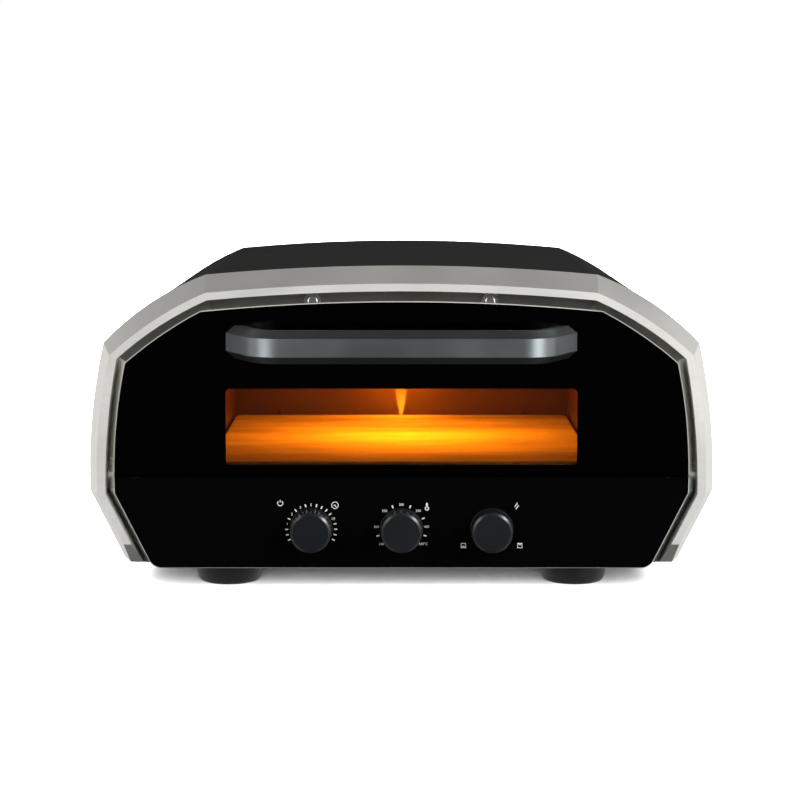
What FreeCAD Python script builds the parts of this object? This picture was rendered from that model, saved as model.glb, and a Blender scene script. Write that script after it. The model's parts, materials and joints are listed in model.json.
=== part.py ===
import FreeCAD, Part
import math
import os

V = FreeCAD.Vector
os.makedirs("parts", exist_ok=True)

# Countertop pizza oven. Millimetres. +Z up, front faces -Y, origin under the
# centre of the bounding box. "depth" is the distance behind the frame's lip.

# ---------------------------------------------------------------- dimensions
LIP_Y = -254.0            # plane of the front lip
FRAME_D = 40.0            # depth of the front frame
SHELL_END = 490.0         # rear edge of the wrap
COVER_END = 544.0         # rear face of the rear cover
BUMPER_END = 562.5        # rear end of the wall bumpers
FLOOR_Z = 28.0            # underside of the base pan, top of the feet
SOLE_Z = 3.2              # underside of the feet in drawing heights; saved parts stand on z = 0
PAN_T = 1.2

# outlines: (half width, height) of hip, shoulder, brow, then the crown height,
# and how far the side and upper facets bow out
LIP_OUT = ((252.7, 89.7), (241.2, 205.5), (161.6, 257.1), 264.8, 4.0, 4.1)
REAR_OUT = ((264.0, 87.1), (251.1, 212.7), (164.5, 269.9), 277.5, 4.0, 5.8)
SHELL_OUT = ((264.0, 87.1), (251.1, 212.7), (163.7, 272.3), 279.9, 4.0, 5.8)
LIP_IN = ((246.0, 89.7), (235.3, 202.6), (160.4, 251.0), 258.5, 2.8, 3.5)
GLASS = ((239.3, 89.7), (229.4, 198.8), (166.2, 241.9), 250.0, 3.4, 2.2)
GLASS_FOOT = (207.7, 26.5)
LEG_SLOPE = 0.501         # inward run of the lower facets per unit of height

GLASS_D = 4.0             # front of the glass behind the lip
GLASS_T = 3.0
GLASS_BEVEL = 0.7         # polished bevel round the front edge
SEAM_LOW, SEAM_HIGH = 103.0, 105.8     # gap between control glass and door
HINGE_D, HINGE_Z = 11.0, 112.5
PIN_R = 2.0
WINDOW = (146.0, 112.4, 177.2, 4.0)    # half width, bottom, top, corner radius

DOOR_BACK = 38.0
BULKHEAD_T = 1.2
CAV_T = 0.8               # cavity sheet
CASING_T = 0.6            # inner casing sheet
COVER_T = 1.4             # rear cover wall
SHEET = 1.2

KNOB_X = (-75.3, 0.0, 75.3)
KNOB_Z = 59.5
KNOB_NAMES = ("timer", "temperature", "balance")
KNOB_R, KNOB_RIM_R, KNOB_FACE_R = 18.0, 16.8, 14.9
GROOVES = 40
KNOB_FRONT = -16.0
SHAFT_R, SHAFT_GAP = 3.0, 0.05

CAV_X = 167.0             # half width of the cavity
CAV_FLOOR, CAV_TOP = 72.0, 200.0
CAV_BACK = 405.0
MOUTH_LOW, MOUTH_HIGH = 106.0, 196.0
STONE = (164.8, 60.0, 393.0, 97.0, 109.0)   # half width, depths, heights

FOOT_X, FOOT_R = 148.8, 28.5
FOOT_DEPTHS = (75.0, 450.0)

SCREW_X, SCREW_Z = 73.5, 249.7
SEAT_D, WASHER_R = 11.8, 6.9


# ------------------------------------------------------------------- helpers
def at(x, depth, z):
    return V(x, LIP_Y + depth, z)


def box(x0, x1, d0, d1, z0, z1):
    return Part.makeBox(x1 - x0, d1 - d0, z1 - z0, at(x0, d0, z0))


def rod_x(depth, z, r, x0, x1):
    return Part.makeCylinder(r, x1 - x0, at(x0, depth, z), V(1, 0, 0))


def rod_y(x, z, r, d0, d1):
    return Part.makeCylinder(r, d1 - d0, at(x, d0, z), V(0, 1, 0))


def rod_z(x, depth, r, z0, z1):
    return Part.makeCylinder(r, z1 - z0, at(x, depth, z0), V(0, 0, 1))


def mirrored(shape):
    return shape.mirror(V(0, 0, 0), V(1, 0, 0))


def fuse(shapes):
    out = shapes[0]
    if len(shapes) > 1:
        out = out.fuse(shapes[1:])
    return out.removeSplitter()


def cut(shape, *tools):
    for tool in tools:
        shape = shape.cut(tool)
    return shape


def save(node, shapes):
    """Write one node: a single solid, or several identical loose ones."""
    if not isinstance(shapes, (list, tuple)):
        shapes = [shapes]
    solids = [s for shape in shapes for s in shape.Solids]
    if not solids:
        raise ValueError(node + " has no solid")
    for s in solids:
        if not s.isValid() or s.Volume <= 0:
            raise ValueError(node + " has a bad solid")
    out = solids[0] if len(solids) == 1 else Part.makeCompound(solids)
    out = out.copy()
    out.translate(V(0, 0, -SOLE_Z))
    out.exportStep("parts/" + node + ".step")


def prism(points, d0, d1):
    """Extrude an (x, z) polygon from one depth to another."""
    wire = Part.makePolygon([at(x, d0, z) for x, z in points + [points[0]]])
    return Part.Face(wire).extrude(V(0, d1 - d0, 0))


def side_prism(points, x0, x1):
    """Extrude a (depth, z) polygon across the width."""
    wire = Part.makePolygon([at(x0, d, z) for d, z in points + [points[0]]])
    return Part.Face(wire).extrude(V(x1 - x0, 0, 0))


def turned_y(x, z, points):
    """Turn an (r, depth) polygon about an axis along Y."""
    wire = Part.makePolygon([at(x + r, d, z) for r, d in points + [points[0]]])
    return Part.Face(wire).revolve(at(x, 0, z), V(0, 1, 0), 360)


def turned_z(x, depth, points):
    wire = Part.makePolygon([at(x + r, depth, z) for r, z in points + [points[0]]])
    return Part.Face(wire).revolve(at(x, depth, 0), V(0, 0, 1), 360)


def inset(outline, t):
    """Offset an outline inwards by t."""
    hip, shoulder, brow, crown, *bows = outline
    foot = (hip[0] - LEG_SLOPE * 60.0, hip[1] - 60.0)
    pts = [foot, hip, shoulder, brow, (0.0, crown)]
    lines = []
    for a, b in zip(pts[:-1], pts[1:]):
        dx, dz = b[0] - a[0], b[1] - a[1]
        n = math.hypot(dx, dz)
        lines.append((a[0] - t * dz / n, a[1] + t * dx / n, dx / n, dz / n))
    out = []
    for (ax, az, adx, adz), (bx, bz, bdx, bdz) in zip(lines[:-1], lines[1:]):
        s = ((bx - ax) * bdz - (bz - az) * bdx) / (adx * bdz - adz * bdx)
        out.append((ax + s * adx, az + s * adz))
    return (out[0], out[1], out[2], crown - t, *bows)


def between(a, b, t):
    mix = [tuple(p + (q - p) * t for p, q in zip(u, v)) for u, v in zip(a[:3], b[:3])]
    return (*mix, *[p + (q - p) * t for p, q in zip(a[3:], b[3:])])


def arch(outline, depth, bottom, foot=None):
    """Closed arch wire at one depth, its lower facets run down to bottom."""
    hip, shoulder, brow, crown, side_bow, brow_bow = outline
    foot = foot or (hip[0] - LEG_SLOPE * (hip[1] - bottom), bottom)

    def bowed(a, b, sag):
        dx, dz = b[0] - a[0], b[1] - a[1]
        n = math.hypot(dx, dz)
        return ((a[0] + b[0]) / 2 + sag * dz / n, (a[1] + b[1]) / 2 - sag * dx / n)

    def p(q, side):
        return at(side * q[0], depth, q[1])

    side_mid, brow_mid = bowed(hip, shoulder, side_bow), bowed(shoulder, brow, brow_bow)

    def leg(side):
        return [Part.LineSegment(p(foot, side), p(hip, side)).toShape(),
                Part.Arc(p(hip, side), p(side_mid, side), p(shoulder, side)).toShape(),
                Part.Arc(p(shoulder, side), p(brow_mid, side), p(brow, side)).toShape()]

    edges = leg(1)
    edges.append(Part.Arc(p(brow, 1), at(0, depth, crown), p(brow, -1)).toShape())
    edges += leg(-1)[::-1]
    edges.append(Part.LineSegment(p(foot, -1), p(foot, 1)).toShape())
    return Part.Wire(Part.__sortEdges__(edges))


def arch_prism(outline, d0, d1, bottom, foot=None):
    return Part.Face(arch(outline, d0, bottom, foot)).extrude(V(0, d1 - d0, 0))


def arch_loft(near, d0, far, d1, bottom):
    return Part.makeLoft([arch(near, d0, bottom), arch(far, d1, bottom)], True, True)


def round_edges(solid, corners, radius, reach=2.5):
    """Round the front-to-back edges that start at the given (x, z) corners."""
    picked = []
    for e in solid.Edges:
        if len(e.Vertexes) < 2:
            continue
        a, b = e.Vertexes[0].Point, e.Vertexes[-1].Point
        if abs(a.y - b.y) < 0.5:
            continue
        for x, z in corners:
            if math.hypot(abs(a.x) - x, a.z - z) < reach or math.hypot(abs(b.x) - x, b.z - z) < reach:
                picked.append(e)
                break
    return solid.makeFillet(radius, picked) if picked else solid


def tube(points, r, bend):
    """Round rod along a polyline with bent corners."""
    edges, last = [], points[0]
    for i in range(1, len(points) - 1):
        a, b, c = points[i - 1], points[i], points[i + 1]
        u, w = (a - b).normalize(), (c - b).normalize()
        half = u.getAngle(w) / 2
        back = bend / math.tan(half)
        p, q = b + u * back, b + w * back
        mid_dir = (u + w).normalize()
        centre = b + mid_dir * (bend / math.sin(half))
        mid = centre - mid_dir * bend
        edges.append(Part.LineSegment(last, p).toShape())
        edges.append(Part.Arc(p, mid, q).toShape())
        last = q
    edges.append(Part.LineSegment(last, points[-1]).toShape())
    path = Part.Wire(edges)
    start = (points[1] - points[0]).normalize()
    ring = Part.Wire([Part.Circle(points[0], start, r).toShape()])
    return path.makePipeShell([ring], True, False)


def screw_y(x, z, head_d, head_r, head_t, shank_r, length):
    """Pan-head screw pointing to the rear; head_d is the seat's depth."""
    head = rod_y(x, z, head_r, head_d - head_t, head_d)
    head = head.makeFillet(head_t * 0.45, [e for e in head.Edges
                                           if abs(e.BoundBox.YMax - (LIP_Y + head_d - head_t)) < 1e-6])
    slot = fuse([box(x - head_r * 0.6, x + head_r * 0.6, head_d - head_t - 1, head_d - head_t * 0.55, z - 0.5, z + 0.5),
                 box(x - 0.5, x + 0.5, head_d - head_t - 1, head_d - head_t * 0.55, z - head_r * 0.6, z + head_r * 0.6)])
    return fuse([head.cut(slot), rod_y(x, z, shank_r, head_d, head_d + length)])


# --------------------------------------------------------------- front frame
def front_frame():
    outer = arch_loft(LIP_OUT, 0, REAR_OUT, FRAME_D, 20.0)
    mouth = arch_prism(LIP_IN, -1, 16.5, 5.0)
    ledge = arch_prism(inset(LIP_IN, 11.0), 16, 20, 5.0)
    back = arch_loft(inset(between(LIP_OUT, REAR_OUT, 0.5), 4.5), 19.5,
                     inset(between(LIP_OUT, REAR_OUT, 1.05), 4.5), 42.0, 5.0)
    feet = side_prism([(-5, 0), (-5, 53.6), (14, 30), (45, 30), (45, 0)], -300, 300)
    body = cut(outer, mouth, ledge, back, feet, swing_relief())
    holes = [rod_y(s * SCREW_X, SCREW_Z, 2.1, 10, 25) for s in (-1, 1)]
    return cut(body, *holes)


def swing_relief():
    """Room beside the hinge for the glass's lower strip, hidden behind the glass."""
    return box(-240.2, 240.2, 9.0, 22.0, 100.0, 119.0)


RING_IN, RING_OUT = 12.0, 0.1          # the ring's edges, inside the lip's mouth
RING_NEAR, RING_FAR = 9.8, 14.9        # depth of its front face at those edges
RING_T = 1.6


def door_surrounds():
    """Polished plate ring, dished towards the lip, split at the hinge line."""
    def cone(shift):
        return arch_loft(inset(LIP_IN, RING_IN), RING_NEAR + shift, inset(LIP_IN, RING_OUT), RING_FAR + shift, 30.0)

    seats = [rod_y(s * SCREW_X, SCREW_Z, WASHER_R + 0.1, 5, SEAT_D) for s in (-1, 1)]
    holes = [rod_y(s * SCREW_X, SCREW_Z, 2.1, 5, 25) for s in (-1, 1)]
    ring = cut(cone(0), cone(RING_T), arch_prism(inset(LIP_IN, RING_IN), 5, 20, 5.0), swing_relief(), *seats, *holes)
    upper = ring.common(box(-300, 300, 5, 20, 112.0, 300))
    lower = ring.common(box(0, 300, 5, 20, 0, 111.6))
    return upper, lower


def surround_screws():
    """Cup washers and pan-head screws, half behind the glass's upper edge."""
    out = []
    for s in (-1, 1):
        washer = cut(rod_y(s * SCREW_X, SCREW_Z, WASHER_R, SEAT_D - 1.6, SEAT_D),
                     rod_y(s * SCREW_X, SCREW_Z, WASHER_R - 1.3, SEAT_D - 2, SEAT_D - 0.5))
        out.append(fuse([washer, screw_y(s * SCREW_X, SCREW_Z, SEAT_D - 0.4, 4.2, 2.2, 2.1, 9.0)]))
    return out


# ------------------------------------------------------------ door and panel
def glass_blank(d0, d1):
    blank = arch_prism(GLASS, d0, d1, GLASS_FOOT[1], GLASS_FOOT)
    blank = round_edges(blank, [GLASS_FOOT], 12.0)
    blank = round_edges(blank, [GLASS[1], GLASS[2]], 6.0)
    front = [e for e in blank.Edges if e.BoundBox.YMax < LIP_Y + d0 + 0.01]
    return blank.makeChamfer(GLASS_BEVEL, front)


HANDLE_X = 145.2          # half width at the glass
HANDLE_BEND_X = 118.0
HANDLE_FRONT = -54.5
HANDLE_Z = 216.4
HANDLE_FLAT, HANDLE_TALL = 7.45, 13.5   # half heights of face and body
HANDLE_T = 13.0
HANDLE_SCREWS = [(s * 136.8, HANDLE_Z + h) for s in (-1, 1) for h in (-7.0, 7.0)]


def handle_bar():
    """Bevelled bar swept round two bends back to the glass."""
    run = (HANDLE_X - HANDLE_BEND_X) / (GLASS_D - HANDLE_FRONT)
    end_d = GLASS_D + 12.0
    end_x = HANDLE_X + run * 12.0
    bend = 30.0
    pts = [at(-end_x, end_d, HANDLE_Z), at(-HANDLE_BEND_X, HANDLE_FRONT, HANDLE_Z),
           at(HANDLE_BEND_X, HANDLE_FRONT, HANDLE_Z), at(end_x, end_d, HANDLE_Z)]
    edges, last = [], pts[0]
    for a, b, c in ((pts[0], pts[1], pts[2]), (pts[1], pts[2], pts[3])):
        u, w = (a - b).normalize(), (c - b).normalize()
        half = u.getAngle(w) / 2
        p, q = b + u * (bend / math.tan(half)), b + w * (bend / math.tan(half))
        axis = (u + w).normalize()
        mid = b + axis * (bend / math.sin(half) - bend)
        edges.append(Part.LineSegment(last, p).toShape())
        edges.append(Part.Arc(p, mid, q).toShape())
        last = q
    edges.append(Part.LineSegment(last, pts[3]).toShape())
    path = Part.Wire(edges)
    along = (pts[1] - pts[0]).normalize()
    inward = V(-along.y, along.x, 0)
    if inward.x < 0:
        inward = inward * -1

    def p(n, h):
        return pts[0] + inward * n + V(0, 0, h)

    section = Part.makePolygon([p(0, -HANDLE_FLAT), p(0, HANDLE_FLAT), p(6.5, HANDLE_TALL),
                                p(HANDLE_T, HANDLE_TALL), p(HANDLE_T, -HANDLE_TALL),
                                p(6.5, -HANDLE_TALL), p(0, -HANDLE_FLAT)])
    bar = path.makePipeShell([section], True, False)
    bar = bar.common(box(-200, 200, -80, GLASS_D, 180, 260))
    return cut(bar, *[rod_y(x, z, 2.5, -6, 10) for x, z in HANDLE_SCREWS])


def door_parts():
    """Glass, print, stamped frame, tunnel, inner glasses, handle and pins."""
    half, low, high, rad = WINDOW
    bolt_holes = [rod_y(x, z, 2.6, 0, 12) for x, z in HANDLE_SCREWS]
    above = box(-300, 300, -5, 50, SEAM_HIGH, 300)
    glass = cut(glass_blank(GLASS_D, GLASS_D + GLASS_T).common(above), *bolt_holes)
    back = GLASS_D + GLASS_T
    pane = box(-half, half, back - 1, back + 2, low, high)
    pane = round_edges(pane, [(half, low), (half, high)], rad)
    inner = arch_prism(inset(GLASS, 0.6), back, back + 0.3, 40.0)
    black = cut(inner.common(box(-300, 300, 0, 20, SEAM_HIGH + 0.4, 300)), pane, *bolt_holes)

    d0 = back + 0.3
    out = [(216, 107), (216, 196), (160, 234), (-160, 234), (-216, 196), (-216, 107)]
    s = SHEET
    hollow = [(216 - s, 107 + s), (216 - s, 196 - s * 0.7), (160 - s * 0.4, 234 - s),
              (-160 + s * 0.4, 234 - s), (-216 + s, 196 - s * 0.7), (-216 + s, 107 + s)]
    frame = cut(prism(out, d0, DOOR_BACK), prism(hollow, d0 + s, DOOR_BACK - s),
                box(-150, 150, d0 - 1, d0 + s + 1, 109.5, 181.0),
                box(-153, 153, DOOR_BACK - s - 1, DOOR_BACK + 1, 109.5, 186.0), *bolt_holes)
    frame = cut(frame, rod_x(HINGE_D, HINGE_Z, PIN_R, -230, 230))
    tunnel = cut(box(-157.2, 157.2, d0 + s, DOOR_BACK - s, 107 + s, 189.2),
                 box(-156, 156, d0, DOOR_BACK, 100, 188))
    middle = box(-156, 156, 20.0, 23.0, 107 + s, 188.0)
    rear = box(-156, 156, DOOR_BACK - s - 3.0, DOOR_BACK - s, 107 + s, 188.0)
    pins = [fuse([rod_x(HINGE_D, HINGE_Z, PIN_R, 214.8, 223.4), rod_x(HINGE_D, HINGE_Z, 2.45, 212.8, 214.8)])]
    pins.append(mirrored(pins[0]))
    bolts = []
    for x, z in HANDLE_SCREWS:
        bolts.append(fuse([rod_y(x, z, 2.5, -5, d0 + s), rod_y(x, z, 4.5, d0 + s, d0 + s + 2.8)]))
    return glass, black, frame, tunnel, middle, rear, pins, bolts


def hinge_bracket():
    """Right-hand ear with a foot against the bulkhead."""
    ear = side_prism([(HINGE_D, HINGE_Z - 3.2), (20, HINGE_Z - 3.2), (40, HINGE_Z - 10), (40, HINGE_Z + 12),
                      (20, HINGE_Z + 3.2), (HINGE_D, HINGE_Z + 3.2)], 219, 222)
    ear = fuse([ear, rod_x(HINGE_D, HINGE_Z, 3.2, 219, 222), box(222, 233, 38.8, 40, HINGE_Z - 10, HINGE_Z + 12)])
    return cut(ear, rod_x(HINGE_D, HINGE_Z, PIN_R + 0.05, 210, 230))


def control_glass():
    lower = glass_blank(GLASS_D, GLASS_D + GLASS_T).common(box(-300, 300, -5, 50, 0, SEAM_LOW))
    return cut(lower, *[rod_y(x, KNOB_Z, 4.6, 0, 12) for x in KNOB_X])


def control_bracket():
    d0 = GLASS_D + GLASS_T
    web = box(-198, 198, d0, d0 + SHEET, 33, 99)
    top = box(-198, 198, d0, FRAME_D, 99 - SHEET, 99)
    low = box(-198, 198, d0, FRAME_D, 33, 33 + SHEET)
    return cut(fuse([web, top, low]), *[rod_y(x, KNOB_Z, 4.2, 0, 12) for x in KNOB_X])


def control_module(x, half_w, half_h, length):
    """Switch body behind the bracket with a bushing for the shaft."""
    d0 = GLASS_D + GLASS_T + SHEET
    body = fuse([box(x - half_w, x + half_w, d0, d0 + length, KNOB_Z - half_h, KNOB_Z + half_h),
                 rod_y(x, KNOB_Z, 4.2, GLASS_D, d0)])
    return cut(body, rod_y(x, KNOB_Z, SHAFT_R + SHAFT_GAP, 0, d0 + length - 4))


def knob(x):
    skin = turned_y(x, KNOB_Z, [(0, KNOB_FRONT), (KNOB_FACE_R, KNOB_FRONT), (KNOB_RIM_R, KNOB_FRONT + 1.5),
                                (KNOB_R - 0.5, 2.0), (KNOB_R, 3.4), (KNOB_R - 2.0, 3.4), (KNOB_FACE_R - 0.5, KNOB_FRONT + 3.4),
                                (5.5, KNOB_FRONT + 3.4), (5.5, 3.4), (SHAFT_R, 3.4), (SHAFT_R, KNOB_FRONT + 3.4), (0, KNOB_FRONT + 3.4)])
    grooves = []
    for i in range(GROOVES):
        a = math.radians(i * 360.0 / GROOVES)
        r = KNOB_R - 0.1
        grooves.append(rod_y(x + r * math.cos(a), KNOB_Z + r * math.sin(a), 0.85, KNOB_FRONT + 4.0, 1.2))
    return cut(skin, Part.makeCompound(grooves))


def knob_shaft(x, length):
    return rod_y(x, KNOB_Z, SHAFT_R, KNOB_FRONT + 3.4, length)


# ------------------------------------------------------------- outer housing
def bulkhead():
    plate = arch_prism(inset(REAR_OUT, 2.1), FRAME_D, FRAME_D + BULKHEAD_T, 31.0)
    mouth = box(-CAV_X, CAV_X, FRAME_D - 1, FRAME_D + 3, MOUTH_LOW, MOUTH_HIGH)
    return cut(plate, mouth)


def wrap(t, d0, d1, bottom):
    """Solid inside the wrap's outline by t; its crown rises towards the rear."""
    def outline(d):
        return inset(between(REAR_OUT, SHELL_OUT, (d - FRAME_D) / (SHELL_END - FRAME_D)), t)

    return arch_loft(outline(d0), d0, outline(d1), d1, bottom)


def top_shell():
    bottom = FLOOR_Z + PAN_T
    outer = wrap(0.8, FRAME_D, SHELL_END, bottom)
    inner = wrap(2.0, FRAME_D - 1, SHELL_END + 1, bottom + SHEET)
    skin = cut(outer, inner, box(-214, 214, 0, 600, 0, 60))
    return cut(skin, *shell_screw_holes(2.1))


SHELL_SCREWS = [(s * 222.0, d) for s in (-1, 1) for d in (70.0, 265.0, 460.0)]


def shell_screw_holes(r):
    return [rod_z(x, d, r, 20, 40) for x, d in SHELL_SCREWS]


def base_pan():
    z0, z1 = FLOOR_Z, FLOOR_Z + PAN_T
    plate = box(-230, 230, FRAME_D + 2, SHELL_END - 2, z0, z1)
    nose = box(-205, 205, 9.0, FRAME_D + 2, z0, z1)
    pan = fuse([plate, nose])
    slots = [box(s * 95 - 32, s * 95 + 32, d, d + 4, 20, 40) for s in (-1, 1) for d in range(150, 390, 12)]
    holes = [rod_z(s * FOOT_X, d, 2.6, 20, 40) for s in (-1, 1) for d in FOOT_DEPTHS]
    return cut(pan, Part.makeCompound(slots), *(holes + shell_screw_holes(2.1)))


def shell_screws():
    out = []
    for x, d in SHELL_SCREWS:
        out.append(fuse([rod_z(x, d, 4.0, FLOOR_Z - 2.2, FLOOR_Z), rod_z(x, d, 2.1, FLOOR_Z, FLOOR_Z + 9)]))
    return out


def foot(x, depth):
    """Round rubber foot, drawn in towards the sole."""
    side = [(22.0, SOLE_Z), (24.6, SOLE_Z + 0.9), (26.6, SOLE_Z + 3.4), (27.9, SOLE_Z + 8.0), (28.5, 20.0), (28.5, 26.0), (27.5, FLOOR_Z)]
    seat = SOLE_Z + 8.0
    return turned_z(x, depth, [(6, SOLE_Z), *side, (2.6, FLOOR_Z), (2.6, seat), (6, seat)])


def foot_screw(x, depth):
    seat = SOLE_Z + 8.0
    return fuse([rod_z(x, depth, 5.2, seat - 4, seat), rod_z(x, depth, 2.6, seat, 37)])


FAN_X, FAN_Z = 70.0, 140.0
INLET_X, INLET_Z = 163.0, 64.0
BUMPERS = [(s * 125.0, z) for s in (-1, 1) for z in (88.0, 205.0)]


def rear_cover():
    """Tapered cap with a lip inside the wrap, louvres and the inlet hole."""
    bottom = FLOOR_Z + 2.0
    wall = COVER_T
    near, far = inset(SHELL_OUT, 0.8), inset(SHELL_OUT, 30.0)
    outer = arch_loft(near, SHELL_END, far, COVER_END, bottom)
    hollow = arch_loft(inset(near, wall), SHELL_END - 0.01, inset(far, wall), COVER_END - wall, bottom + wall)
    lip = cut(wrap(2.05, SHELL_END - 12, SHELL_END, bottom + wall),
              wrap(3.2, SHELL_END - 13, SHELL_END + 1, bottom + wall + 1.2))
    lip = cut(lip, box(-260, 260, SHELL_END - 13, SHELL_END + 1, 0, bottom + 12))
    cap = fuse([cut(outer, hollow), lip])
    louvres = []
    for col in (-140.0, -70.0, 0.0, 70.0, 140.0):
        rows = range(8) if abs(col) < 80 else range(5)
        for row in rows:
            z = 108.0 + row * 9.0
            louvres.append(box(col - 27, col + 27, COVER_END - 3, COVER_END + 1, z, z + 4))
    inlet = box(INLET_X - 14.2, INLET_X + 14.2, COVER_END - 5, COVER_END + 1, INLET_Z - 10.2, INLET_Z + 10.2)
    return cut(cap, Part.makeCompound(louvres), inlet, *[rod_y(x, z, 2.1, COVER_END - 5, COVER_END + 2) for x, z in BUMPERS])


COVER_SCREWS = ((150.0, 260.5), (195.0, 253.8))      # height and seat of the head


def cover_screws():
    """Side screws through the wrap into the cover's lip."""
    out = []
    for z, x0 in COVER_SCREWS:
        s = fuse([rod_x(SHELL_END - 6, z, 4.0, x0, x0 + 2.2), rod_x(SHELL_END - 6, z, 2.1, x0 - 9, x0)])
        out += [s, mirrored(s)]
    return out


def bumper(x, z):
    return turned_y(x, z, [(4.0, COVER_END), (13.0, COVER_END), (13.0, BUMPER_END - 3.5), (10.5, BUMPER_END), (4.0, BUMPER_END)])


def bumper_screw(x, z):
    return fuse([rod_y(x, z, 4.0, COVER_END, COVER_END + 2.2), rod_y(x, z, 2.1, COVER_END - 9, COVER_END)])


# -------------------------------------------------------------------- cavity
PASSAGES = [(-60.0, 84.0), (60.0, 84.0), (-60.0, 188.0), (60.0, 188.0)]
TUBE_R = 3.25
PROBE_X, PROBE_Z, PROBE_R = 110.0, 170.0, 2.5


def passage_holes(r_extra, d0, d1):
    holes = [rod_y(x, z, TUBE_R + r_extra, d0, d1) for x, z in PASSAGES]
    holes.append(rod_y(PROBE_X, PROBE_Z, PROBE_R + r_extra, d0, d1))
    return holes


def heating_element(z):
    """Tubular loop whose two ends leave through the rear wall."""
    d_near, d_mid, d_far = 85.0, 350.0, 432.0
    pts = [at(-60, d_far, z), at(-60, d_mid, z), at(-125, d_mid, z), at(-125, d_near, z), at(-42, d_near, z),
           at(-42, 315.0, z), at(42, 315.0, z), at(42, d_near, z), at(125, d_near, z), at(125, d_mid, z),
           at(60, d_mid, z), at(60, d_far, z)]
    return tube(pts, TUBE_R, 18.0)


def element_terminals(z):
    return [cut(turned_y(s * 60.0, z, [(0, 429.0), (7, 429.0), (7, 437), (4.5, 438), (4.5, 446), (1.5, 446), (1.5, 453), (0, 453)]),
                rod_y(s * 60.0, z, TUBE_R, 420, 432)) for s in (-1, 1)]


def stone_rail():
    """Angle that carries one side of the stone."""
    x = 150.0
    return fuse([box(x, x + SHEET, 75, 378, CAV_FLOOR, STONE[3]), box(x - 10, x, 75, 378, STONE[3] - SHEET, STONE[3]),
                 box(x, x + 12, 75, 378, CAV_FLOOR, CAV_FLOOR + SHEET)])


# --------------------------------------------------------------- electronics
def fan_housing():
    d0, d1 = 517.5, COVER_END - COVER_T
    body = box(FAN_X - 41, FAN_X + 41, d0, d1, FAN_Z - 41, FAN_Z + 41)
    body = round_edges(body, [(abs(FAN_X) - 41, FAN_Z - 41), (abs(FAN_X) - 41, FAN_Z + 41),
                              (abs(FAN_X) + 41, FAN_Z - 41), (abs(FAN_X) + 41, FAN_Z + 41)], 5.0)
    body = cut(body, rod_y(FAN_X, FAN_Z, 38.5, d0 - 1, d1 + 1))
    arms = [box(FAN_X - 39.5, FAN_X + 39.5, 533.0, 535.5, FAN_Z - 2, FAN_Z + 2),
            box(FAN_X - 2, FAN_X + 2, 533.0, 535.5, FAN_Z - 39.5, FAN_Z + 39.5),
            rod_y(FAN_X, FAN_Z, 17.0, 533.0, 535.5)]
    return fuse([body] + arms)


def fan_motor():
    return cut(rod_y(FAN_X, FAN_Z, 15.0, 522.0, 533.0), rod_y(FAN_X, FAN_Z, 2.05, 520, 531))


def fan_impeller():
    cup = turned_y(FAN_X, FAN_Z, [(0, 518.0), (17.5, 518.0), (17.5, 531.5), (16.2, 531.5), (16.2, 520.0), (0, 520.0)])
    shaft = rod_y(FAN_X, FAN_Z, 2.0, 520.0, 529.0)
    blades = []
    for i in range(7):
        b = Part.makeBox(21.0, 13.0, 1.2, at(FAN_X + 16.6, 518.6, FAN_Z - 0.6))
        b.rotate(at(FAN_X, 525.0, FAN_Z), V(1, 0, 0), 38)
        b.rotate(at(FAN_X, 525.0, FAN_Z), V(0, 1, 0), i * 360 / 7)
        blades.append(b)
    ring = cut(rod_y(FAN_X, FAN_Z, 37.6, 518.0, 532.0), rod_y(FAN_X, FAN_Z, 16.4, 510, 540))
    blades = [b.common(ring) for b in blades]
    return fuse([cup, shaft] + blades)


def power_inlet():
    d = COVER_END
    body = fuse([box(INLET_X - 17, INLET_X + 17, d, d + 2.5, INLET_Z - 12.5, INLET_Z + 12.5),
                 box(INLET_X - 14.2, INLET_X + 14.2, d - 20, d, INLET_Z - 10.2, INLET_Z + 10.2)])
    return cut(body, box(INLET_X - 12, INLET_X + 12, d - 17, d + 5, INLET_Z - 8, INLET_Z + 8),
               *[box(INLET_X + x - 1, INLET_X + x + 1, d - 25, d - 10, INLET_Z + z - 2, INLET_Z + z + 2) for x, z in INLET_PINS])


INLET_PINS = ((-7.0, -3.0), (0.0, 1.0), (7.0, -3.0))


def inlet_pins():
    d = COVER_END
    return [box(INLET_X + x - 1, INLET_X + x + 1, d - 26, d - 3, INLET_Z + z - 2, INLET_Z + z + 2) for x, z in INLET_PINS]


BOARD = (-150.0, -40.0, 436.0, 482.0, 41.0)


def control_board():
    x0, x1, d0, d1, z = BOARD
    plate = box(x0, x1, d0, d1, z, z + 1.6)
    return cut(plate, *[rod_z(x, d, 1.5, z - 1, z + 3) for x in (x0 + 5, x1 - 5) for d in (d0 + 5, d1 - 5)])


def board_posts():
    x0, x1, d0, d1, z = BOARD
    return [fuse([rod_z(x, d, 3.0, FLOOR_Z + PAN_T, z), rod_z(x, d, 1.5, z, z + 3.0)])
            for x in (x0 + 5, x1 - 5) for d in (d0 + 5, d1 - 5)]


def board_components():
    x0, x1, d0, d1, z = BOARD
    z += 1.6
    return [box(x0 + 12, x0 + 40, d0 + 8, d0 + 32, z, z + 22), box(x0 + 46, x0 + 61, d0 + 10, d0 + 38, z, z + 16),
            box(x0 + 66, x0 + 81, d0 + 10, d0 + 38, z, z + 16), rod_z(x0 + 92, d0 + 16, 5.0, z, z + 18)]


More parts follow.
